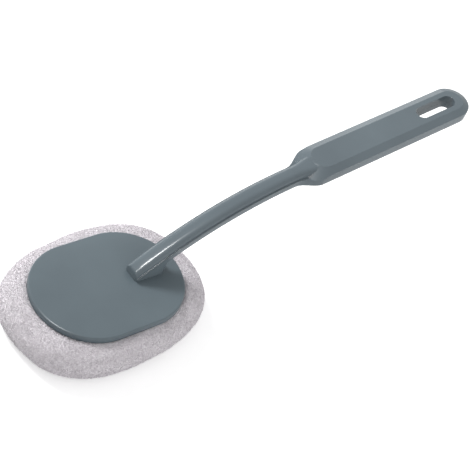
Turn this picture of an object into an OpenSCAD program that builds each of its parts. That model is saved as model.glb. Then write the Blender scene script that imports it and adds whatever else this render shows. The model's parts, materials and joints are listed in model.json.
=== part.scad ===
// Washing wand: a flat head plate with a bent two-shell handle, over a soft
// round-edged pad that hooks on below and pulls off to be washed or replaced.
// +X runs from the head to the end of the grip, +Z is up.
// The origin is under the middle of the plate, on the pad's flat underside.

/* [Head plate] */
// Length of the plate along the handle
plate_len = 96; // [84:1:110]
// Width of the plate
plate_w = 70; // [60:1:80]
// Thickness of the plate
plate_t = 4; // [3:0.5:6]
// Rounding of the plate's upper edge
plate_edge_r = 1.2; // [0.6:0.2:1.6]

/* [Neck] */
// Distance from the plate's middle to the nose of the neck's foot
foot_x = 15; // [10:1:20]
// Slope of the neck where it leaves the plate, in degrees
foot_slope = 38; // [34:1:42]
// Radius of the neck's bend, along the parting line
neck_bend_r = 240; // [200:5:280]
// Width of the neck over its two lips
neck_w = 12.4; // [11:0.2:14]
// Width of each lip along the neck
lip_w = 1; // [0.6:0.1:1.4]
// Thickness of each lip
lip_t = 0.9; // [0.6:0.1:1.2]
// Height of the neck's rounded top over the parting line
crown_h = 4.4; // [3.6:0.1:5]
// Width of the flattest strip along the top of the neck
crown_flat_w = 2.4; // [1.6:0.2:3.2]
// Depth of the neck's lower half under the parting line
neck_under = 5; // [4:0.1:6]
// Distance from the nose to the back of the foot, along the plate
foot_len = 23.5; // [20:0.5:28]
// Rounding from the foot's upright nose to the top of the neck
nose_round = 3.6; // [2.4:0.2:4.4]
// Rounding of the nose's two corners, seen from above
nose_corner = 2.4; // [1.6:0.2:3.4]

/* [Grip] */
// Slope of the grip, in degrees
grip_slope = 10; // [6:1:14]
// Length from the end of the neck's bend to the end of the grip
grip_len = 145; // [130:1:170]
// Width of the grip
grip_w = 25.6; // [24:0.2:30]
// Thickness of the grip
grip_t = 10; // [9:0.1:12]
// Height of the grip's upper shell over the parting line
grip_upper = 5.5; // [5.2:0.1:6]
// Width of the flat face along the top of the grip
face_w = 16.4; // [14:0.2:18]
// Depth of the slope beside the flat face
bevel_h = 2.3; // [1.8:0.1:2.6]
// Length over which the neck widens to the grip
shoulder_len = 16; // [12:1:20]
// Distance from the end of the neck's bend to the near end of the flat face
face_start = 15.5; // [14:0.5:20]
// Height of the flat face over the crown where the two meet
face_step = 0.2; // [0.1:0.1:0.6]
// Step by which the lower shell stands back from the upper one
under_step = 0.4; // [0.2:0.1:0.6]

/* [Hanging slot] */
// Length of the slot
slot_len = 32; // [24:1:38]
// Width of the slot
slot_w = 9.4; // [8:0.2:11]
// Material between the slot and the end of the grip
slot_margin = 10.6; // [9:0.2:13]

/* [Shell insides] */
// Wall of both handle shells
wall = 1.6; // [1.2:0.1:2]
// Gap between the two shells at the parting line
seam_gap = 0.1; // [0.05:0.05:0.2]
// Number of cross ribs in the grip
rib_count = 3; // [2:1:4]
// Thickness of each cross rib
rib_t = 1.4; // [1:0.1:2]
// Diameter of the pegs that join the shells
peg_d = 3; // [2.4:0.2:3.6]
// Clearance round a peg in its socket
peg_gap = 0.1; // [0.05:0.05:0.2]

/* [Foot screws] */
// Diameter of a screw's shank
screw_d = 3; // [2.5:0.1:3.5]
// Length of a screw with its head
screw_len = 9; // [8:0.5:10]
// Diameter of a screw's countersunk head
screw_head_d = 5.8; // [5.2:0.1:6.4]
// Distance from the nose to the first screw
screw_first = 9; // [8:0.5:10]
// Distance between the two screws
screw_pitch = 8.5; // [8:0.5:9]
// Clearance round a screw
screw_gap = 0.1; // [0.05:0.05:0.2]

/* [Pad] */
// Length of the pad
pad_len = 129; // [124:1:140]
// Width of the pad
pad_w = 95; // [92:1:104]
// Height of the pad at its rolled rim
pad_h = 21; // [20:0.5:25]
// Squareness of the pad's outline: 2 is an oval, more is fuller at the corners
pad_fullness = 2.5; // [2.2:0.1:3]
// Width of the rolled edge
pad_roll = 11; // [9:0.5:12]
// Depth of the soft waves along the pad's edge
pad_wave = 0.2; // [0:0.1:1]
// Turn of the pad on the plate, as it was pressed on by hand, in degrees
pad_turn = 6; // [-7:1:7]
// Shift of the pad on the plate along the handle
pad_shift_x = 1.2; // [-2:0.1:2]
// Shift of the pad on the plate across the handle
pad_shift_y = 0.6; // [-2:0.1:2]
// Depth by which the pad's rolled rim stands over the plate's underside
rim_rise = 1; // [0.4:0.1:1.6]
// Thickness of the fleece under and over the foam
fleece_t = 3; // [2.5:0.1:4]
// Thickness of each half of the hook and loop fastener
fastener_t = 1; // [0.8:0.1:1.2]
// Margin from the plate's edge to the fastener's edge
fastener_margin = 4; // [3:0.5:6]
// Clearance between the pad and what stands in it
soft_gap = 0.4; // [0.3:0.1:0.6]

/* [Hidden] */
$fn = 72;

// Heights of the layers, from the pad's underside up
plate_z = pad_h - rim_rise;
plate_top = plate_z + plate_t;
hook_z = plate_z - fastener_t;
loop_z = hook_z - fastener_t;
foam_z = fleece_t;
foam_top = loop_z - fleece_t;

// The fastener sheets and the foam, in plan
hook_len = plate_len - 2 * fastener_margin;
hook_w = plate_w - 2 * fastener_margin;
loop_trim = 3;
loop_len = hook_len - loop_trim;
loop_w = hook_w - loop_trim;
foam_len = pad_len - 2 * pad_roll;
foam_w = pad_w - 2 * pad_roll;
foam_round = 2;

// The parting line: an arc from the plate up to the grip, then a straight line
arc_x = foot_x + neck_bend_r * sin(foot_slope);
arc_z = plate_top - neck_bend_r * cos(foot_slope);
bend_end_x = arc_x - neck_bend_r * sin(grip_slope);
bend_end_z = arc_z + neck_bend_r * cos(grip_slope);
// The neck runs on past the plate's top by this angle before it is cut off
foot_overrun = 3;
// The neck is this much slimmer all round than the grip's first section, and runs
// this far into it
join_step = 0.03;
join_run = 0.3;
join_slope = grip_slope - join_run / neck_bend_r * 180 / PI;

// Half widths and places along the grip, from the end of the neck's bend
neck_half = neck_w / 2;
arch_half = neck_half - lip_w;
under_half = neck_half - under_step;
grip_half = grip_w / 2;
face_half = face_w / 2;
bevel_foot = grip_upper - bevel_h;
bevel_reach = face_half + grip_upper * (grip_half - face_half) / bevel_h;
grip_under = grip_t - grip_upper;
under_grip_half = grip_half - under_step / 2;
end_round_s = grip_len - grip_half;
face_full_s = face_start + face_half;
crown_end_s = face_start + face_half / 2;
slot_end_s = grip_len - slot_margin;
slot_start_s = slot_end_s - slot_len;
under_round = 1.4;

// Foot of the neck: the nose stands upright to the height where its rounding just meets
// the arc of the crown. It is drawn a little fuller, so that the two cross cleanly.
nose_extra = 0.05;
nose_reach_x = neck_bend_r * sin(foot_slope) - nose_round;
nose_rise = sqrt(pow(neck_bend_r + crown_h - nose_round, 2) - pow(nose_reach_x, 2))
    - neck_bend_r * cos(foot_slope);
nose_full = nose_round + nose_extra;
nose_end_x = foot_x + nose_full * (1 - sin(foot_slope));
footprint_end = foot_x + foot_len;

// Grip pockets, pegs and ribs
pocket_start_s = face_full_s;
pocket_end_s = slot_start_s - wall;
pocket_len = (pocket_end_s - pocket_start_s - rib_count * rib_t) / (rib_count + 1);
pocket_pitch = pocket_len + rib_t;
peg_socket_d = peg_d + 2 * peg_gap;
peg_boss_d = peg_socket_d + 2 * wall;
peg_reach = grip_under - wall - seam_gap;
peg_places = [for (i = [0 : rib_count]) pocket_start_s + pocket_len / 2 + i * pocket_pitch];

// Screws
screw_places = [foot_x + screw_first, foot_x + screw_first + screw_pitch];
screw_head_h = (screw_head_d - screw_d) / 2;
screw_tip_h = screw_d / 2;

// Loft and outline steps
loft_steps = 20;
crown_steps = 16;
arch_steps = 7;
outline_steps = 60;
roll_steps = 10;
flat_cut = 0.5;
wave_count = 9;
reach = 400;

function lerp(a, b, u) = a + (b - a) * u;
function ease(u) = let (c = min(1, max(0, u))) c * c * (3 - 2 * c);

// Right half of the crown: a quarter ellipse from its foot up to the flattest strip
function arch_side(base, foot, top, flat) = [
    for (i = [0 : arch_steps])
        let (a = 90 * i / arch_steps)
        [lerp(flat, base, cos(a)), lerp(foot, top, sin(a))]
];

// Closes a right half into a whole outline that is the same on both sides
function both_sides(half) = concat(half, [for (i = [len(half) - 1 : -1 : 0]) [-half[i][0], half[i][1]]]);

// Half width of the grip's rim at a distance from the end of the bend
function rim_half(s) = lerp(neck_half, grip_half, ease(s / shoulder_len));

// Rounded roof between two lips, and the hollow under it
function roof_section(half, foot, low, top, flat = crown_flat_w / 2) =
    both_sides(concat([[half, low]], arch_side(half, foot, top, flat)));

// The crown at a distance along the grip from the end of the bend. It rises and spreads
// until it meets the near end of the flat face.
function crown_section(s) = let (u = ease(s / face_full_s))
    roof_section(lerp(arch_half, face_half, u), lip_t, 0,
                 lerp(crown_h, grip_upper - face_step, u), lerp(crown_flat_w / 2, face_half / 2, u));

// Lower section: a shallow tray with rounded lower edges
function lower_section(half, depth, top) = both_sides(concat(
    [for (i = [0 : arch_steps]) let (a = 90 * i / arch_steps)
        [half - under_round + under_round * sin(a), -depth + under_round - under_round * cos(a)]],
    [[half, top]]
));

// Skins a row of like outlines, each given as [width, height], at the given places along X
module loft(places, outlines) {
    n = len(outlines[0]);
    rows = len(places);
    points = [for (i = [0 : rows - 1], p = outlines[i]) [places[i], p[0], p[1]]];
    sides = [
        for (i = [0 : rows - 2], j = [0 : n - 1])
            let (a = i * n + j, b = i * n + (j + 1) % n)
            for (t = [[a, b + n, b], [a, a + n, b + n]]) t
    ];
    start = [for (j = [n - 1 : -1 : 0]) j];
    end = [for (j = [0 : n - 1]) (rows - 1) * n + j];
    polyhedron(points, concat(sides, [start], [end]));
}

// A flat plate or pad with straight sides and half-round ends.
// The edge lists [inset, height] from the bottom up, with the inset taken inwards.
module oval_solid(length, width, edge) {
    straight = length - width;
    right = [for (p = edge) [width / 2 - p[0], p[1]]];
    low = edge[0][1];
    high = edge[len(edge) - 1][1];
    translate([-straight / 2, 0, 0])
        rotate([90, 0, 90])
        linear_extrude(straight)
        polygon(both_sides(right));
    for (side = [0, 1])
        mirror([side, 0, 0])
        translate([straight / 2, 0, 0])
        rotate([0, 0, -90])
        rotate_extrude(angle = 180)
        polygon(concat([[0, low]], right, [[0, high]]));
}

// A plain oval block between two heights
module oval_block(length, width, low, high) {
    oval_solid(length, width, [[0, low], [0, high]]);
}

// Edge of a plate with its upper edge rounded
function round_edge(low, high, r) = concat(
    [[0, low]],
    [for (i = [0 : 4]) let (a = 90 * i / 4) [r - r * cos(a), high - r + r * sin(a)]]
);

// Puts the pad's pieces in their place, shifted and turned as the pad was pressed on
module on_pad() {
    translate([pad_shift_x, pad_shift_y, 0])
        rotate([0, 0, pad_turn])
        children();
}

// Puts grip pieces, drawn along X with the parting line at height 0, in their place
module on_grip() {
    translate([bend_end_x, 0, bend_end_z])
        rotate([0, -grip_slope, 0])
        children();
}

// Sweeps an outline of [width, height over the parting line] along the neck's bend,
// from a slope to another slope
module neck_sweep(outline, from_slope, to_slope) {
    translate([arc_x, 0, arc_z])
        rotate([90, 0, 0])
        rotate([0, 0, 90 + from_slope])
        rotate_extrude(angle = to_slope - from_slope, $fn = 360)
        polygon([for (p = outline) [neck_bend_r + p[1], p[0]]]);
}

// Everything above the plate that lies behind the foot's rounded nose
module above_plate() {
    translate([nose_end_x, -reach / 2, plate_top])
        cube([reach, reach, reach]);
    translate([foot_x, -reach / 2, plate_top])
        cube([2 * nose_full, reach, nose_rise]);
    translate([foot_x + nose_full, 0, plate_top + nose_rise])
        rotate([90, 0, 0])
        cylinder(h = reach, r = nose_full, center = true);
}

// The neck in plan, with the corners of its nose rounded
module neck_plan(half) {
    translate([foot_x + nose_corner, -half, 0])
        square([reach, 2 * half]);
    translate([foot_x, nose_corner - half, 0])
        square([nose_corner + 1, 2 * (half - nose_corner)]);
    for (y = [nose_corner - half, half - nose_corner])
        translate([foot_x + nose_corner, y, 0])
        circle(nose_corner);
}

// Cuts a swept length of neck off at the plate and at its nose
module nosed(half) {
    intersection() {
        union()
            children();
        above_plate();
        translate([0, 0, plate_top])
            linear_extrude(reach)
            neck_plan(half);
    }
}

// The slot in plan, grown by an amount all round
module slot_plan(grow) {
    r = slot_w / 2;
    translate([slot_start_s + r, -r - grow, 0])
        square([slot_len - 2 * r, slot_w + 2 * grow]);
    for (s = [slot_start_s + r, slot_end_s - r])
        translate([s, 0, 0])
        circle(r + grow);
}

// The hollow round the slot in plan
module slot_pocket_plan(half) {
    difference() {
        union() {
            translate([pocket_end_s + rib_t, -half, 0])
                square([end_round_s - pocket_end_s - rib_t, 2 * half]);
            translate([end_round_s, 0, 0])
                circle(half);
        }
        slot_plan(wall);
        translate([0, -half - 1, 0])
            square([pocket_end_s + rib_t, 2 * half + 2]);
    }
}

module head_plate() {
    color([0.44, 0.48, 0.51])
    difference() {
        oval_solid(plate_len, plate_w, round_edge(plate_z, plate_top, plate_edge_r));
        for (x = screw_places)
            translate([x, 0, plate_z]) {
                translate([0, 0, -1])
                    cylinder(h = plate_t + 2, d = screw_d + 2 * screw_gap);
                cylinder(h = screw_head_h, d1 = screw_head_d + 2 * screw_gap, d2 = screw_d + 2 * screw_gap);
            }
    }
}

// The grip in plan, from the end of the neck's bend, with its shoulders and round end
module grip_plan() {
    rim = [for (i = [0 : loft_steps]) let (s = shoulder_len * i / loft_steps) [s, rim_half(s)]];
    far = [for (i = [loft_steps : -1 : 0]) [rim[i][0], -rim[i][1]]];
    polygon(concat(rim, [[end_round_s, grip_half], [end_round_s, -grip_half]], far));
    translate([end_round_s, 0, 0])
        circle(grip_half);
}

// The flat face, with its bevel running down on all sides as far as the parting line
module raised_face() {
    half_section = [[0, 0], [bevel_reach, 0], [face_half, grip_upper], [0, grip_upper]];
    translate([face_full_s, 0, 0]) {
        rotate([90, 0, 90])
            linear_extrude(end_round_s - face_full_s)
            polygon(both_sides([half_section[1], half_section[2]]));
        rotate([0, 0, 90])
            rotate_extrude(angle = 180)
            polygon(half_section);
    }
    translate([end_round_s, 0, 0])
        rotate([0, 0, -90])
        rotate_extrude(angle = 180)
        polygon(half_section);
}

// Upper half of the neck and the grip, open below
module upper_shell() {
    lips = both_sides([[neck_half - join_step, join_step], [neck_half - join_step, lip_t - join_step]]);
    roof = roof_section(arch_half - join_step, lip_t, join_step, crown_h - join_step);
    neck_hollow = roof_section(arch_half - wall, 0, -1, crown_h - wall);
    shoulder_hollow = roof_section(arch_half - wall - join_step, 0, -1, crown_h - wall - join_step);
    pocket = both_sides([[grip_half - wall, -1], [grip_half - wall, bevel_foot - wall / 3],
                         [face_half - wall / 3, grip_upper - wall]]);
    hollow_end_slope = foot_slope - 5;
    steps = [for (i = [0 : crown_steps]) crown_end_s * i / crown_steps];
    color([0.45, 0.49, 0.52]) {
        difference() {
            union() {
                nosed(neck_half) {
                    neck_sweep(lips, join_slope, foot_slope + foot_overrun);
                    neck_sweep(roof, join_slope, foot_slope + foot_overrun);
                }
                on_grip() {
                    intersection() {
                        linear_extrude(grip_t)
                            grip_plan();
                        union() {
                            linear_extrude(lip_t)
                                square([2 * face_full_s, 2 * bevel_reach], center = true);
                            loft(steps, [for (s = steps) crown_section(s)]);
                            raised_face();
                        }
                    }
                }
            }
            neck_sweep(neck_hollow, grip_slope, hollow_end_slope);
            on_grip() {
                translate([-join_run, 0, 0])
                    rotate([90, 0, 90])
                    linear_extrude(pocket_start_s - rib_t)
                    polygon(shoulder_hollow);
                for (i = [0 : rib_count])
                    translate([pocket_start_s + i * pocket_pitch, 0, 0])
                    rotate([90, 0, 90])
                    linear_extrude(pocket_len)
                    polygon(pocket);
                translate([0, 0, -1])
                    linear_extrude(bevel_foot + 1)
                    slot_pocket_plan(grip_half - wall);
                translate([0, 0, -1])
                    linear_extrude(grip_t + 2)
                    slot_plan(0);
            }
        }
        on_grip()
            for (s = peg_places)
                translate([s, 0, -peg_reach])
                cylinder(h = peg_reach + grip_upper - wall / 2, d = peg_d);
    }
}

// Lower half of the neck and the grip, open above, with the foot that stands on the plate
module lower_shell() {
    tray = lower_section(under_half - join_step, neck_under - join_step, -seam_gap - join_step);
    grip_tray = lower_section(under_grip_half, grip_under, -seam_gap);
    shoulder_hollow_half = under_half - wall - join_step;
    neck_hollow = [[wall - under_half, wall - neck_under], [under_half - wall, wall - neck_under],
                   [under_half - wall, 1], [wall - under_half, 1]];
    pocket_half = under_grip_half - wall;
    hollow_end_slope = asin(sin(foot_slope) - (foot_len + wall) / neck_bend_r);
    steps = [for (i = [0 : loft_steps]) shoulder_len * i / loft_steps];
    color([0.40, 0.44, 0.47])
    difference() {
        union() {
            nosed(under_half)
                neck_sweep(tray, join_slope, foot_slope + foot_overrun);
            intersection() {
                translate([0, 0, plate_top])
                    linear_extrude(reach)
                    intersection() {
                        neck_plan(under_half);
                        union() {
                            translate([0, -under_half, 0])
                                square([footprint_end - under_half, 2 * under_half]);
                            translate([footprint_end - under_half, 0, 0])
                                circle(under_half);
                        }
                    }
                translate([arc_x, 0, arc_z])
                    rotate([90, 0, 0])
                    cylinder(h = reach, r = neck_bend_r - seam_gap, center = true, $fn = 360);
            }
            on_grip() {
                loft(steps, [for (s = steps) let (u = ease(s / shoulder_len))
                    lower_section(lerp(under_half, under_grip_half, u), lerp(neck_under, grip_under, u),
                                  -seam_gap)]);
                translate([shoulder_len, 0, 0])
                    rotate([90, 0, 90])
                    linear_extrude(end_round_s - shoulder_len)
                    polygon(grip_tray);
                translate([end_round_s, 0, 0])
                    rotate([0, 0, -90])
                    rotate_extrude(angle = 180)
                    polygon(concat([[0, -grip_under]], [for (p = grip_tray) if (p[0] > 0) p],
                                   [[0, -seam_gap]]));
            }
        }
        neck_sweep(neck_hollow, grip_slope, hollow_end_slope);
        on_grip() {
            translate([-join_run, -shoulder_hollow_half, wall - grip_under])
                cube([pocket_start_s - rib_t, 2 * shoulder_hollow_half, grip_under]);
            for (i = [0 : rib_count])
                difference() {
                    translate([pocket_start_s + i * pocket_pitch, -pocket_half, wall - grip_under])
                        cube([pocket_len, 2 * pocket_half, grip_under]);
                    translate([peg_places[i], 0, -grip_under])
                        cylinder(h = grip_under - seam_gap, d = peg_boss_d);
                }
            for (s = peg_places)
                translate([s, 0, wall - grip_under - peg_gap])
                cylinder(h = grip_under, d = peg_socket_d);
            translate([0, 0, wall - grip_under])
                linear_extrude(grip_under)
                slot_pocket_plan(pocket_half);
            translate([0, 0, -grip_t])
                linear_extrude(2 * grip_t)
                slot_plan(0);
        }
        for (x = screw_places)
            translate([x, 0, plate_top - 1])
            cylinder(h = screw_len - plate_t + 1 + 2 * screw_gap, d = screw_d + 2 * screw_gap);
    }
}

// Two countersunk screws that hold the neck's foot on the plate
module foot_screws() {
    color([0.72, 0.73, 0.75])
    for (x = screw_places)
        translate([x, 0, plate_z]) {
            difference() {
                cylinder(h = screw_head_h, d1 = screw_head_d, d2 = screw_d);
                for (turn = [0, 90])
                    rotate([0, 0, turn])
                    cube([screw_d, screw_d / 4, screw_head_h], center = true);
            }
            translate([0, 0, screw_head_h])
                cylinder(h = screw_len - screw_head_h - screw_tip_h, d = screw_d);
            translate([0, 0, screw_len - screw_tip_h])
                cylinder(h = screw_tip_h, d1 = screw_d, d2 = screw_d / 3);
        }
}

// Hook half of the fastener, bonded under the plate
module hook_sheet() {
    color([0.25, 0.26, 0.27])
    oval_block(hook_len, hook_w, hook_z, plate_z);
}

// Loop half of the fastener, sewn on the pad
module loop_sheet() {
    color([0.86, 0.86, 0.87])
    on_pad()
        oval_block(loop_len, loop_w, loop_z, hook_z);
}

// Sponge block inside the pad
module foam_core() {
    edge = concat(
        [[foam_round, foam_z]],
        [for (p = round_edge(foam_z + foam_round, foam_top, foam_round)) p]
    );
    color([0.93, 0.88, 0.62])
    on_pad()
        oval_solid(foam_len, foam_w, edge);
}

// One point of the pad's outline, drawn in by an inset along its own normal
function pad_point(a, inset) = let (
    c = cos(a),
    s = sin(a),
    hx = pad_len / 2,
    hy = pad_w / 2,
    m = pad_fullness,
    r = pow(pow(abs(c) / hx, m) + pow(abs(s) / hy, m), -1 / m),
    gx = sign(c) * pow(abs(r * c) / hx, m - 1) / hx,
    gy = sign(s) * pow(abs(r * s) / hy, m - 1) / hy,
    g = sqrt(gx * gx + gy * gy),
    in = inset + pad_wave / 2 * (1 - cos(wave_count * a))
) [r * c - in * gx / g, r * s - in * gy / g];

// The pad's outer form: a soft oval with rolled edges, flat where it stands
module pad_form() {
    half_h = (pad_h + flat_cut) / 2;
    mid_z = half_h - flat_cut;
    low_angle = asin(-mid_z / half_h);
    rolls = [for (i = [0 : roll_steps]) lerp(low_angle, 90, i / roll_steps)];
    n = outline_steps;
    rings = [
        for (v = rolls, i = [0 : n - 1])
            let (p = pad_point(360 * i / n, pad_roll * (1 - cos(v))))
            [p[0], p[1], mid_z + half_h * sin(v)]
    ];
    low_hub = len(rings);
    top_hub = low_hub + 1;
    last = roll_steps * n;
    sides = [
        for (k = [0 : roll_steps - 1], i = [0 : n - 1])
            let (a = k * n + i, b = k * n + (i + 1) % n)
            for (t = [[a, b + n, b], [a, a + n, b + n]]) t
    ];
    low_cap = [for (i = [0 : n - 1]) [low_hub, i, (i + 1) % n]];
    top_cap = [for (i = [0 : n - 1]) [top_hub, last + (i + 1) % n, last + i]];
    polyhedron(concat(rings, [[0, 0, 0], [0, 0, pad_h]]), concat(sides, low_cap, top_cap));
}

// Fleece cover of the pad, pressed in under the plate
module pad_cover() {
    color([0.93, 0.92, 0.94])
    difference() {
        on_pad()
            pad_form();
        oval_block(plate_len + 2 * soft_gap, plate_w + 2 * soft_gap, plate_z - soft_gap, pad_h + 1);
        oval_block(hook_len + 2 * soft_gap, hook_w + 2 * soft_gap, hook_z, pad_h + 1);
        on_pad() {
            oval_block(loop_len + 2 * soft_gap, loop_w + 2 * soft_gap, loop_z, pad_h + 1);
            oval_block(foam_len + 2 * soft_gap, foam_w + 2 * soft_gap, foam_z, foam_top + soft_gap);
        }
    }
}

head_plate();
upper_shell();
lower_shell();
foot_screws();
hook_sheet();
loop_sheet();
foam_core();
pad_cover();
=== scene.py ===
# %% [markdown]
# # A washing wand with a fleece pad
# The wand is a flat oval plate with a long bent handle, standing on a thick fleece pad.
# Its plastic parts come from the engineering model, because their shapes are already true,
# so this lesson gives them a finish. The pad is soft, so it is made again here as cloth.

# %% Load the engineering model
import bpy, bmesh, json, math
from mathutils import Matrix, Vector, noise as waves

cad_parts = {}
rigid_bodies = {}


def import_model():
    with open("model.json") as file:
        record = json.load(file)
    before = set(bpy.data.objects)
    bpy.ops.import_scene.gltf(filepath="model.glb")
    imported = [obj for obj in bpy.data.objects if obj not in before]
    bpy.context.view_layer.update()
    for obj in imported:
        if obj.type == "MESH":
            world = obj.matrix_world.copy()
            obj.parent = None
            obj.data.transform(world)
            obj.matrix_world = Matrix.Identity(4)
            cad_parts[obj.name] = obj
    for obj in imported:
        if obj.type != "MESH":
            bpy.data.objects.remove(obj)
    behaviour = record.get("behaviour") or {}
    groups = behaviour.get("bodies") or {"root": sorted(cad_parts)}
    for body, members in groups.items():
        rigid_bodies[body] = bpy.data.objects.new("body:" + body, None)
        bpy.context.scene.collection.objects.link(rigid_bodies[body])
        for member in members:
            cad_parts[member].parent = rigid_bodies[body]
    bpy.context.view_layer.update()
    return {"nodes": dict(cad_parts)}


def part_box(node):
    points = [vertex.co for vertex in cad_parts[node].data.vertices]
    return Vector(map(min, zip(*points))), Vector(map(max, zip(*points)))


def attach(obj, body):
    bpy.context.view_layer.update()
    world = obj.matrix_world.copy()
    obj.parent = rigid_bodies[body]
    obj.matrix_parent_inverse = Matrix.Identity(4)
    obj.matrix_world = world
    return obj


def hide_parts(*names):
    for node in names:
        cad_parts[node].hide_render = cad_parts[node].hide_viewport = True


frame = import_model()
nodes = frame["nodes"]
scene = bpy.context.scene
scene.view_settings.view_transform = "Standard"
print("pieces:", sorted(nodes))

# %% [markdown]
# ## The camera
# The photograph looks down on the wand from its head end, with the camera tilted about its
# own line of sight. A camera can be pointed by eye, but this one's place was worked out from
# the plate, the neck and the hanging slot, so all three fall where the photograph has them.
# A lens of 92 mm on a 36 mm sensor gives the same gentle perspective.

# %% Place the camera
photo_width_px = 470
focal_length_px = 1200
sensor_mm = 36
turn, tilt, roll = math.radians(54.9085), math.radians(42.4488), math.radians(-25)
plate_from_eye = Vector((-0.07171, 0.02708, 0.68198))  # right, down and ahead
plate_middle = Vector((0, 0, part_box("head_plate")[1][2]))

across = Vector((math.cos(turn), -math.sin(turn), 0))
ahead = Vector((math.sin(turn) * math.cos(tilt), math.cos(turn) * math.cos(tilt), -math.sin(tilt)))
down = ahead.cross(across)
right = math.cos(roll) * across + math.sin(roll) * down
below = -math.sin(roll) * across + math.cos(roll) * down
eye = plate_middle - (right * plate_from_eye.x + below * plate_from_eye.y
                      + ahead * plate_from_eye.z)

camera_data = bpy.data.cameras.new("photo_camera")
camera_data.lens = focal_length_px / photo_width_px * sensor_mm
camera_data.sensor_width = sensor_mm
camera_data.clip_start, camera_data.clip_end = 0.01, 20
camera = bpy.data.objects.new("photo_camera", camera_data)
scene.collection.objects.link(camera)
camera.matrix_world = Matrix((
    (right.x, -below.x, -ahead.x, eye.x),
    (right.y, -below.y, -ahead.y, eye.y),
    (right.z, -below.z, -ahead.z, eye.z),
    (0, 0, 0, 1)))
scene.camera = camera
print("camera at", [round(v, 3) for v in eye])


# %% [markdown]
# ## The floor and the sky
# The photograph has a plain white ground. A white picture behind the wand would do, but then
# it would cast no shadow. So a large matt floor takes the wand's soft shadow, and a little glow
# lifts the rest of it to white. Only the camera sees that glow, so it doesn't light the wand
# from below. The sky is an even white too, and dimmer as a light than it looks.

# %% Colours, materials and nodes
def linear(*shades):
    """A colour as a picture program names it, 0 to 255, turned into light."""
    light = []
    for shade in shades:
        part = shade / 255
        light.append(part / 12.92 if part <= 0.04045 else ((part + 0.055) / 1.055) ** 2.4)
    return (*light, 1)


def new_material(name):
    material = bpy.data.materials.new(name)
    material.use_nodes = True
    tree = material.node_tree
    tree.nodes.clear()
    output = tree.nodes.new("ShaderNodeOutputMaterial")
    return material, tree, output


def new_node(tree, kind, **values):
    """Adds a node and sets the inputs that are named, with _ for a space."""
    node = tree.nodes.new(kind)
    for name, value in values.items():
        node.inputs[name.replace("_", " ")].default_value = value
    return node


white = (1, 1, 1, 1)
print("slate grey-green as light:", [round(part, 3) for part in linear(110, 121, 127)])

# %% Matt floor
floor_reach = 6
floor_grey = 0.8
floor_glow = 0.45

floor_mesh = bpy.data.meshes.new("floor")
bm = bmesh.new()
bmesh.ops.create_grid(bm, x_segments=1, y_segments=1, size=floor_reach)
bm.to_mesh(floor_mesh)
bm.free()
floor = bpy.data.objects.new("floor", floor_mesh)
scene.collection.objects.link(floor)

floor_paint, tree, output = new_material("floor_paint")
matt = new_node(tree, "ShaderNodeBsdfDiffuse", Color=(floor_grey, floor_grey, floor_grey, 1))
glow = new_node(tree, "ShaderNodeEmission", Color=white)
paths = new_node(tree, "ShaderNodeLightPath")
strength = new_node(tree, "ShaderNodeMath")
strength.operation = "MULTIPLY"
strength.inputs[1].default_value = floor_glow
both = new_node(tree, "ShaderNodeAddShader")
tree.links.new(paths.outputs["Is Camera Ray"], strength.inputs[0])
tree.links.new(strength.outputs[0], glow.inputs["Strength"])
tree.links.new(matt.outputs[0], both.inputs[0])
tree.links.new(glow.outputs[0], both.inputs[1])
tree.links.new(both.outputs[0], output.inputs["Surface"])
floor_mesh.materials.append(floor_paint)
print("floor reaches", floor_reach, "m each way")

# %% Even sky
sky_power = 0.68

sky = bpy.data.worlds.new("studio")
scene.world = sky
sky.use_nodes = True
tree = sky.node_tree
tree.nodes.clear()
sky_output = new_node(tree, "ShaderNodeOutputWorld")
sky_light = new_node(tree, "ShaderNodeBackground", Color=white, Strength=sky_power)
sky_white = new_node(tree, "ShaderNodeBackground", Color=white, Strength=1)
paths = new_node(tree, "ShaderNodeLightPath")
choose = new_node(tree, "ShaderNodeMixShader")
tree.links.new(paths.outputs["Is Camera Ray"], choose.inputs[0])
tree.links.new(sky_light.outputs[0], choose.inputs[1])
tree.links.new(sky_white.outputs[0], choose.inputs[2])
tree.links.new(choose.outputs[0], sky_output.inputs["Surface"])
print("sky lights with", sky_power)


# %% [markdown]
# ## Four soft lamps
# One lamp can't put the neck's shadow and its long glint both where the photograph has them,
# so each lamp here does one thing. The key lamp stands past the far side of the head and
# throws the neck's shadow to this side of it. The neck lamp hangs over the head's end and is
# only seen as the glint, so it doesn't light that shadow. The low fill lights the near side
# of the pad. The back panel is what the far slope of the grip mirrors at a low angle, so that
# slope is the lightest. A lamp is left out of mirrored or of plain light by its own settings.

# %% Lamps
neck_foot = (0.06, 0, 0.03)
pad_side = (0.04, 0, 0.01)
grip_start = (0.15, 0, 0.07)


def soft_lamp(name, place, target, size, power):
    data = bpy.data.lights.new(name, "AREA")
    data.shape = "RECTANGLE"
    data.size, data.size_y = size
    data.energy = power
    lamp = bpy.data.objects.new(name, data)
    scene.collection.objects.link(lamp)
    lamp.location = place
    aim = Vector(target) - Vector(place)
    lamp.rotation_mode = "QUATERNION"
    lamp.rotation_quaternion = aim.to_track_quat("-Z", "Y")
    return lamp


key_lamp = soft_lamp("key_lamp", place=(-0.22, 0.98, 0.86), target=neck_foot,
                     size=(0.38, 0.32), power=15.5)
key_lamp.visible_glossy = False
neck_lamp = soft_lamp("neck_lamp", place=(-0.62, 0.02, 1.03), target=neck_foot,
                      size=(0.22, 0.34), power=17)
neck_lamp.visible_diffuse = False
low_fill = soft_lamp("low_fill", place=(0.35, -1.7, 0.28), target=pad_side,
                     size=(2.2, 0.3), power=10)
low_fill.visible_glossy = False
back_panel = soft_lamp("back_panel", place=(0.9, 1.75, 0.55), target=grip_start,
                       size=(1.6, 0.5), power=3)
for lamp in (key_lamp, neck_lamp, low_fill, back_panel):
    print(lamp.name, "gives", lamp.data.energy, "W")


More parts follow.
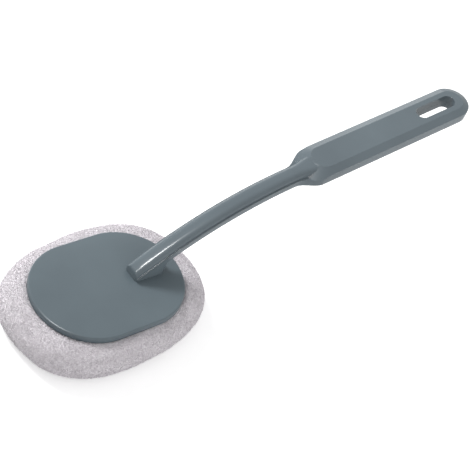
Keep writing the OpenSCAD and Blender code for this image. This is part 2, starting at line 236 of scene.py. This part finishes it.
# %% [markdown]
# ## Moulded plastic
# The plate and the handle are moulded in one slate grey-green plastic with a satin finish.
# One flat colour would look unreal, as a moulding is never quite even: its tone drifts over a
# few centimetres, rub marks change its gloss, and its skin has a very fine grain. Three layers
# of noise give these. They read object coordinates, so the pattern stays put whichever way the
# wand is seen. A small rounding of the shading normal softens every edge, as a mould does.

# %% Noise for a finish
noise_low, noise_high = 0.3, 0.7


def noise(tree, place, scale, detail=3.0, rough=0.5, stretch=(1, 1, 1)):
    texture = new_node(tree, "ShaderNodeTexNoise", Scale=scale, Detail=detail, Roughness=rough)
    mapping = new_node(tree, "ShaderNodeMapping", Scale=stretch)
    tree.links.new(place.outputs["Object"], mapping.inputs["Vector"])
    tree.links.new(mapping.outputs["Vector"], texture.inputs["Vector"])
    return texture


def spread(tree, source, low, high):
    """Turns the middle of a noise into a range of numbers."""
    ramp = new_node(tree, "ShaderNodeMapRange", From_Min=noise_low, From_Max=noise_high,
                    To_Min=low, To_Max=high)
    tree.links.new(source.outputs["Fac"], ramp.inputs["Value"])
    return ramp


def two_tone(tree, source, dark, light):
    """Turns the middle of a noise into a range of colours."""
    ramp = new_node(tree, "ShaderNodeValToRGB")
    ends = ramp.color_ramp.elements
    ends[0].position, ends[0].color = noise_low, dark
    ends[1].position, ends[1].color = noise_high, light
    tree.links.new(source.outputs["Fac"], ramp.inputs["Fac"])
    return ramp


print("noise is used from", noise_low, "to", noise_high)

# %% Plastic finish
drift_scale, rub_scale, grain_scale = 18, 160, 2600
rub_stretch = (0.25, 1, 1)
rub_smoother, rub_rougher = 0.02, 0.03
grain_strength, grain_depth = 0.12, 0.00005
plastic_ior = 1.45


def moulded_plastic(name, dark, light, gloss, edge):
    material, tree, output = new_material(name)
    place = new_node(tree, "ShaderNodeTexCoord")
    skin = new_node(tree, "ShaderNodeBsdfPrincipled", IOR=plastic_ior)
    drift = noise(tree, place, drift_scale, detail=4)
    tone = two_tone(tree, drift, dark, light)
    rubbed = noise(tree, place, rub_scale, detail=5, rough=0.6, stretch=rub_stretch)
    shine = spread(tree, rubbed, gloss - rub_smoother, gloss + rub_rougher)
    rounded = new_node(tree, "ShaderNodeBevel", Radius=edge)
    rounded.samples = 4
    grain = noise(tree, place, grain_scale, detail=2)
    bump = new_node(tree, "ShaderNodeBump", Strength=grain_strength, Distance=grain_depth)
    tree.links.new(tone.outputs["Color"], skin.inputs["Base Color"])
    tree.links.new(shine.outputs["Result"], skin.inputs["Roughness"])
    tree.links.new(grain.outputs["Fac"], bump.inputs["Height"])
    tree.links.new(rounded.outputs["Normal"], bump.inputs["Normal"])
    tree.links.new(bump.outputs["Normal"], skin.inputs["Normal"])
    tree.links.new(skin.outputs[0], output.inputs["Surface"])
    return material


def dress(node, material):
    mesh = nodes[node].data
    mesh.materials.clear()
    mesh.materials.append(material)


plate_plastic = moulded_plastic("plate_plastic", linear(87, 98, 104), linear(95, 107, 113),
                                gloss=0.34, edge=0.0004)
handle_plastic = moulded_plastic("handle_plastic", linear(92, 102, 108), linear(100, 111, 117),
                                 gloss=0.24, edge=0.00025)
plastic_pieces = {"head_plate": plate_plastic, "upper_shell": handle_plastic,
                  "lower_shell": handle_plastic}
for node, plastic in plastic_pieces.items():
    dress(node, plastic)
print("plastic on", list(plastic_pieces))


# %% [markdown]
# ## Unbroken glints
# The real neck is smoothly round, but the engineering model builds it from narrow flat strips
# with loose edges, and each strip would catch its own glint. Finer strips would make a heavy
# model. Instead, a small node group joins the strips and shades across every edge that turns
# by less than 20 degrees, so the neck takes one glint and the real corners stay crisp.

# %% Shade across the strips
weld_gap = 0.000002
gentle_turn = math.radians(20)


def new_group(name):
    """An empty group of nodes that takes one shape in and gives one out."""
    group = bpy.data.node_groups.new(name, "GeometryNodeTree")
    for side in ("INPUT", "OUTPUT"):
        group.interface.new_socket(name="Geometry", in_out=side, socket_type="NodeSocketGeometry")
    shape_in = new_node(group, "NodeGroupInput")
    shape_out = new_node(group, "NodeGroupOutput")
    return group, shape_in, shape_out


strips, shape_in, shape_out = new_group("smooth_strips")
weld = new_node(strips, "GeometryNodeMergeByDistance", Distance=weld_gap)
old_normals = new_node(strips, "GeometryNodeRemoveAttribute", Name="custom_normal")
round_faces = new_node(strips, "GeometryNodeSetShadeSmooth")
round_faces.domain = "FACE"
crisp_edges = new_node(strips, "GeometryNodeSetShadeSmooth")
crisp_edges.domain = "EDGE"
corner = new_node(strips, "GeometryNodeInputMeshEdgeAngle")
gentle = new_node(strips, "FunctionNodeCompare")
gentle.data_type = "FLOAT"
gentle.operation = "LESS_THAN"
gentle.inputs["B"].default_value = gentle_turn
link = strips.links.new
link(shape_in.outputs[0], weld.inputs["Geometry"])
link(weld.outputs[0], old_normals.inputs["Geometry"])
link(old_normals.outputs[0], round_faces.inputs["Geometry"])
link(round_faces.outputs[0], crisp_edges.inputs["Geometry"])
link(corner.outputs["Unsigned Angle"], gentle.inputs["A"])
link(gentle.outputs["Result"], crisp_edges.inputs["Shade Smooth"])
link(crisp_edges.outputs[0], shape_out.inputs[0])
for node in plastic_pieces:
    nodes[node].modifiers.new("smooth_strips", "NODES").node_group = strips
print("strips joined on", len(plastic_pieces), "pieces")


# %% [markdown]
# ## What is inside
# Two steel screws hold the neck on the plate, dark nylon hooks cover the plate's underside and
# pale loops cover the top of the pad. A sponge fills the pad. Each hook and loop could be a
# mesh of its own, but they only show when the pad is off, so a coarse bump on a plain finish
# is enough for them, and for the open cells of the sponge. The screws get a fine grain that is
# drawn out along them.

# %% Steel, hooks, loops and sponge
def plain_finish(name, dark, light, scale, rough, bumps, metal=0.0, stretch=(1, 1, 1)):
    material, tree, output = new_material(name)
    place = new_node(tree, "ShaderNodeTexCoord")
    skin = new_node(tree, "ShaderNodeBsdfPrincipled", Roughness=rough, Metallic=metal)
    grain = noise(tree, place, scale, detail=4, rough=0.6, stretch=stretch)
    tone = two_tone(tree, grain, (*dark, 1), (*light, 1))
    bump = new_node(tree, "ShaderNodeBump", Strength=0.6, Distance=bumps)
    tree.links.new(tone.outputs["Color"], skin.inputs["Base Color"])
    tree.links.new(grain.outputs["Fac"], bump.inputs["Height"])
    tree.links.new(bump.outputs["Normal"], skin.inputs["Normal"])
    tree.links.new(skin.outputs[0], output.inputs["Surface"])
    return material


screw_steel = plain_finish("screw_steel", (0.5, 0.5, 0.52), (0.66, 0.66, 0.68), scale=900,
                           rough=0.32, bumps=0.00003, metal=1.0, stretch=(1, 1, 0.1))
nylon_hooks = plain_finish("nylon_hooks", (0.02, 0.02, 0.022), (0.08, 0.08, 0.085), scale=1500,
                           rough=0.7, bumps=0.0005)
nylon_loops = plain_finish("nylon_loops", (0.4, 0.4, 0.42), (0.64, 0.64, 0.66), scale=1100,
                           rough=0.95, bumps=0.0005)
sponge = plain_finish("sponge", (0.55, 0.46, 0.2), (0.85, 0.76, 0.42), scale=700,
                      rough=0.95, bumps=0.0008)
dress("foot_screws", screw_steel)
dress("hook_sheet", nylon_hooks)
dress("loop_sheet", nylon_loops)
dress("foam_core", sponge)
print("inner pieces dressed")

# %% [markdown]
# ## The pad's body
# The pad is a fleece bag over a sponge: full, rolled at the edges, with soft dents. Its shape
# could be sculpted, but a cloth simulation finds it by itself. The engineering model's plain
# pad is copied, remeshed into even cells and blown up a little from inside. Each point may
# move only a little, so the pad keeps its size.

# %% Measure the pad and the plate
pad_low, pad_high = [Vector(c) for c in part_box("pad_cover")]
plate_low, plate_high = [Vector(c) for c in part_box("head_plate")]
loops_low = Vector(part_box("loop_sheet")[0])
plate_round = (plate_high.y - plate_low.y) / 2
plate_straight = (plate_high.x - plate_low.x) / 2 - plate_round
print("pad", [round(1000 * v, 1) for v in pad_high - pad_low], "mm")


# %% Copy the pad's outer skin
same_place = 1e-6


def outer_skin(mesh):
    """Merges a mesh's loose triangles and keeps its outermost shell."""
    bm = bmesh.new()
    bm.from_mesh(mesh)
    bmesh.ops.remove_doubles(bm, verts=bm.verts, dist=same_place)
    left, shells = set(bm.verts), []
    while left:
        shell, front = set(), [left.pop()]
        while front:
            vert = front.pop()
            shell.add(vert)
            for edge in vert.link_edges:
                other = edge.other_vert(vert)
                if other in left:
                    left.discard(other)
                    front.append(other)
        shells.append(shell)
    shells.sort(key=lambda s: max(v.co.x for v in s))
    inner = [v for s in shells[:-1] for v in s]
    bmesh.ops.delete(bm, geom=inner, context="VERTS")
    bmesh.ops.recalc_face_normals(bm, faces=bm.faces)
    return bm, len(shells)


bm, shells = outer_skin(nodes["pad_cover"].data)
pad_mesh = bpy.data.meshes.new("fleece_pad")
bm.to_mesh(pad_mesh)
bm.free()
pad = bpy.data.objects.new("fleece_pad", pad_mesh)
scene.collection.objects.link(pad)
print("shells found:", shells)

# %% Even cells
cell_size = 0.004


def apply_modifiers(piece):
    shown = bpy.context.evaluated_depsgraph_get()
    baked = bpy.data.meshes.new_from_object(piece.evaluated_get(shown))
    piece.modifiers.clear()
    old = piece.data
    piece.data = baked
    bpy.data.meshes.remove(old)
    baked.name = piece.name


cells = pad.modifiers.new("cells", "REMESH")
cells.mode = "VOXEL"
cells.voxel_size = cell_size
apply_modifiers(pad)
print("cells:", len(pad.data.polygons))

# %% Blow up the pad
blow_frames = 20
reach = 0.0012

before = [v.co.copy() for v in pad.data.vertices]
cloth = pad.modifiers.new("cloth", "CLOTH")
cloth.settings.quality = 5
cloth.settings.mass = 0.1
cloth.settings.tension_stiffness = 15
cloth.settings.compression_stiffness = 15
cloth.settings.bending_stiffness = 0.5
cloth.settings.use_pressure = True
cloth.settings.uniform_pressure_force = 4
cloth.settings.effector_weights.gravity = 0
cloth.point_cache.frame_start, cloth.point_cache.frame_end = 1, blow_frames
for step in range(1, blow_frames + 1):
    scene.frame_set(step)
apply_modifiers(pad)
scene.frame_set(1)
most = 0.0
for vert, was in zip(pad.data.vertices, before):
    move = vert.co - was
    most = max(most, move.length)
    if move.length > reach:
        vert.co = was + move * (reach / move.length)
print("cloth moved a point by up to", round(1000 * most, 1), "mm, kept to", 1000 * reach)

# %% [markdown]
# ## Fitting the pad under the plate
# The blown-up cells are coarse, so one subdivision rounds them. Slow waves of noise add the
# soft dents of a hand-filled pad, which would be slow to push in by hand. Then every point is
# drawn in by the depth of the pile that will stand on it. What lies under the plate is pressed
# flat below the plate and the loops, and is marked to stay bare, so no yarn pokes through.

# %% Round the cells
rounder = pad.modifiers.new("rounder", "SUBSURF")
rounder.levels = rounder.render_levels = 1
apply_modifiers(pad)
print("rounded cells:", len(pad.data.polygons))

# %% Dent and fit
pile_depth = 0.0006
lowest = 0.0014
dent = 0.0003
long_wave, short_wave = 55, 120
under_plate = plate_low.z - 0.0006
under_loops = loops_low.z - 0.0002
rim_margin = 0.0012
loops_margin = -0.006
bare_margin = 0.0002
seat_above = 0.012


def past_plate(point):
    """How far a point lies outside the plate, seen from above. Inside it is negative."""
    along = max(abs(point.x) - plate_straight, 0)
    return math.hypot(along, point.y) - plate_round


def write_smooth(bm, mesh):
    """Shades every face smoothly and turns the work into a mesh."""
    for face in bm.faces:
        face.smooth = True
    bm.to_mesh(mesh)
    bm.free()


bm = bmesh.new()
bm.from_mesh(pad.data)
bm.normal_update()
for vert in bm.verts:
    sway = waves.noise(vert.co * long_wave) + 0.5 * waves.noise(vert.co * short_wave)
    vert.co = vert.co + vert.normal * (dent * sway - pile_depth)
    gap = past_plate(vert.co)
    if gap < rim_margin and vert.co.z > under_plate:
        vert.co.z = under_plate
    if gap < loops_margin and vert.co.z > under_loops:
        vert.co.z = under_loops
    vert.co.z = max(vert.co.z, lowest)
bmesh.ops.recalc_face_normals(bm, faces=bm.faces)
piled = bm.verts.layers.float.new("pile")
for vert in bm.verts:
    bare = past_plate(vert.co) < bare_margin and vert.co.z > seat_above
    vert[piled] = 0.0 if bare else 1.0
write_smooth(bm, pad.data)
print("pad body:", len(pad.data.polygons), "faces")

# %% [markdown]
# ## One loop of yarn
# The fleece is a short pile of curly loops, each under a millimetre wide. Hair curves could
# make them, but the pad is handed on as a mesh, so one loop is modelled and then repeated. It
# is a thread of three sides, spun through a little more than half a circle and drawn out
# upwards, which is few faces for a shape that is repeated so often.

# %% Spin the loop
thread_radius = 0.00012
loop_radius = 0.00024
loop_centre = 0.0001
thread_tilt, loop_turn = math.radians(-20), math.radians(-190)
loop_stretch = 2.2

loop_mesh = bpy.data.meshes.new("yarn_loop")
bm = bmesh.new()
ring = bmesh.ops.create_circle(bm, segments=3, radius=thread_radius)["verts"]
bmesh.ops.rotate(bm, verts=ring, cent=(0, 0, 0), matrix=Matrix.Rotation(thread_tilt, 3, "Y"))
bmesh.ops.translate(bm, verts=ring, vec=(loop_radius, 0, 0))
bmesh.ops.spin(bm, geom=bm.verts[:] + bm.edges[:], cent=(0, 0, loop_centre), axis=(0, 1, 0),
               angle=loop_turn, steps=3, use_merge=False)
bmesh.ops.scale(bm, vec=(1, 1, loop_stretch), verts=bm.verts)
bmesh.ops.recalc_face_normals(bm, faces=bm.faces)
write_smooth(bm, loop_mesh)
loop = bpy.data.objects.new("yarn_loop", loop_mesh)
scene.collection.objects.link(loop)
print("loop:", len(loop_mesh.polygons), "faces,", [round(1000 * d, 2) for d in loop.dimensions], "mm")


# %% [markdown]
# ## The fleece's finish
# Yarn like this is matt, with a faint sheen at grazing angles. Its colour is a cool white that
# drifts between patches, with small darker specks at random that are painted shade, standing for
# the gaps where the pile parts. A picture of fleece would repeat, so two noises are multiplied,
# and then by each loop's own shade, which is stored on the loops as an attribute. The pad's body
# has no such shade and takes the darkest, so between the loops it shows a painted shade.

# %% Fleece finish
fleece, tree, output = new_material("fleece")
place = new_node(tree, "ShaderNodeTexCoord")
yarn = new_node(tree, "ShaderNodeBsdfPrincipled", Roughness=0.95, Specular_IOR_Level=0.2,
                Sheen_Weight=0.25, Sheen_Roughness=0.6)
specks = noise(tree, place, 900, detail=3, rough=0.6)
patch = noise(tree, place, 60)
# Darker specks at random: painted shade for the gaps in the pile.
painted_speck_shade = two_tone(tree, specks, linear(224, 218, 224), linear(255, 252, 255))
patch_tone = two_tone(tree, patch, (0.96, 0.955, 0.96, 1), white)
shade = new_node(tree, "ShaderNodeAttribute")
shade.attribute_name = "shade"
# Each loop's random tone, and the body without the attribute takes the lowest, 0.82: painted shade
# between the loops.
loop_tone_and_base_shade = new_node(tree, "ShaderNodeMapRange", To_Min=0.82, To_Max=1.0)
mixed = new_node(tree, "ShaderNodeMix")
mixed.data_type = "RGBA"
mixed.blend_type = "MULTIPLY"
mixed.inputs["Factor"].default_value = 1
shaded = new_node(tree, "ShaderNodeVectorMath")
shaded.operation = "SCALE"
fuzz = new_node(tree, "ShaderNodeBump", Strength=0.5, Distance=0.0004)
tree.links.new(shade.outputs["Fac"], loop_tone_and_base_shade.inputs["Value"])
tree.links.new(painted_speck_shade.outputs["Color"], mixed.inputs["A"])
tree.links.new(patch_tone.outputs["Color"], mixed.inputs["B"])
tree.links.new(mixed.outputs["Result"], shaded.inputs[0])
tree.links.new(loop_tone_and_base_shade.outputs["Result"], shaded.inputs["Scale"])
tree.links.new(shaded.outputs[0], yarn.inputs["Base Color"])
tree.links.new(specks.outputs["Fac"], fuzz.inputs["Height"])
tree.links.new(fuzz.outputs["Normal"], yarn.inputs["Normal"])
tree.links.new(yarn.outputs[0], output.inputs["Surface"])
pad.data.materials.clear()
pad.data.materials.append(fleece)
loop_mesh.materials.append(fleece)
print("fleece finish ready")

# %% [markdown]
# ## The pile
# A real pad carries many thousand loops. A copy made by a script for each would be slow, so
# geometry nodes stand them on evenly spaced points, and each gets its own lean, turn, size and
# shade. Then they are turned into a real mesh and joined with the pad's body.

# %% Stand the pile on the pad
spacing = 0.00043
densest = 4500000
lean_most, full_turn = 0.75, 6.28
smallest, largest = 0.75, 1.25
point_seed, lean_seed, size_seed, shade_seed = 7, 11, 13, 17

pile, shape_in, shape_out = new_group("pile")
where = new_node(pile, "GeometryNodeInputNamedAttribute", Name="pile")
where.data_type = "FLOAT"
points = new_node(pile, "GeometryNodeDistributePointsOnFaces")
points.distribute_method = "POISSON"
points.inputs["Distance Min"].default_value = spacing
points.inputs["Density Max"].default_value = densest
points.inputs["Seed"].default_value = point_seed
yarn_loop = new_node(pile, "GeometryNodeObjectInfo", Object=loop)
lean = new_node(pile, "FunctionNodeRandomValue")
lean.data_type = "FLOAT_VECTOR"
lean.inputs["Min"].default_value = (-lean_most, -lean_most, 0)
lean.inputs["Max"].default_value = (lean_most, lean_most, full_turn)
lean.inputs["Seed"].default_value = lean_seed
size = new_node(pile, "FunctionNodeRandomValue", Seed=size_seed)
size.data_type = "FLOAT"
size.inputs[2].default_value = smallest
size.inputs[3].default_value = largest
tint = new_node(pile, "FunctionNodeRandomValue", Seed=shade_seed)
tint.data_type = "FLOAT"
as_turn = new_node(pile, "FunctionNodeEulerToRotation")
turned = new_node(pile, "FunctionNodeRotateRotation")
turned.rotation_space = "LOCAL"
stand = new_node(pile, "GeometryNodeInstanceOnPoints")
mark = new_node(pile, "GeometryNodeStoreNamedAttribute", Name="shade")
mark.data_type = "FLOAT"
mark.domain = "INSTANCE"
real = new_node(pile, "GeometryNodeRealizeInstances")
join = new_node(pile, "GeometryNodeJoinGeometry")

link = pile.links.new
link(shape_in.outputs[0], points.inputs["Mesh"])
link(where.outputs["Attribute"], points.inputs["Density Factor"])
link(lean.outputs["Value"], as_turn.inputs[0])
link(points.outputs["Rotation"], turned.inputs[0])
link(as_turn.outputs[0], turned.inputs[1])
link(points.outputs["Points"], stand.inputs["Points"])
link(yarn_loop.outputs["Geometry"], stand.inputs["Instance"])
link(turned.outputs[0], stand.inputs["Rotation"])
link(size.outputs[1], stand.inputs["Scale"])
link(stand.outputs[0], mark.inputs["Geometry"])
link(tint.outputs[1], mark.inputs["Value"])
link(mark.outputs[0], real.inputs[0])
link(shape_in.outputs[0], join.inputs[0])
link(real.outputs[0], join.inputs[0])
link(join.outputs[0], shape_out.inputs[0])
print("loops stand", round(1000 * spacing, 2), "mm apart")

# %% Grow it
pad.modifiers.new("pile", "NODES").node_group = pile
apply_modifiers(pad)
bpy.data.objects.remove(loop)
print("fleece pad:", sum(len(p.vertices) - 2 for p in pad.data.polygons), "triangles")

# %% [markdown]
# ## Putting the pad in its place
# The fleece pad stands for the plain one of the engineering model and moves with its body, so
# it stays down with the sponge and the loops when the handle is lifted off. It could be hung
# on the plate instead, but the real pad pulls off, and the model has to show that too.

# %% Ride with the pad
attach(pad, "pad")
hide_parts("pad_cover")
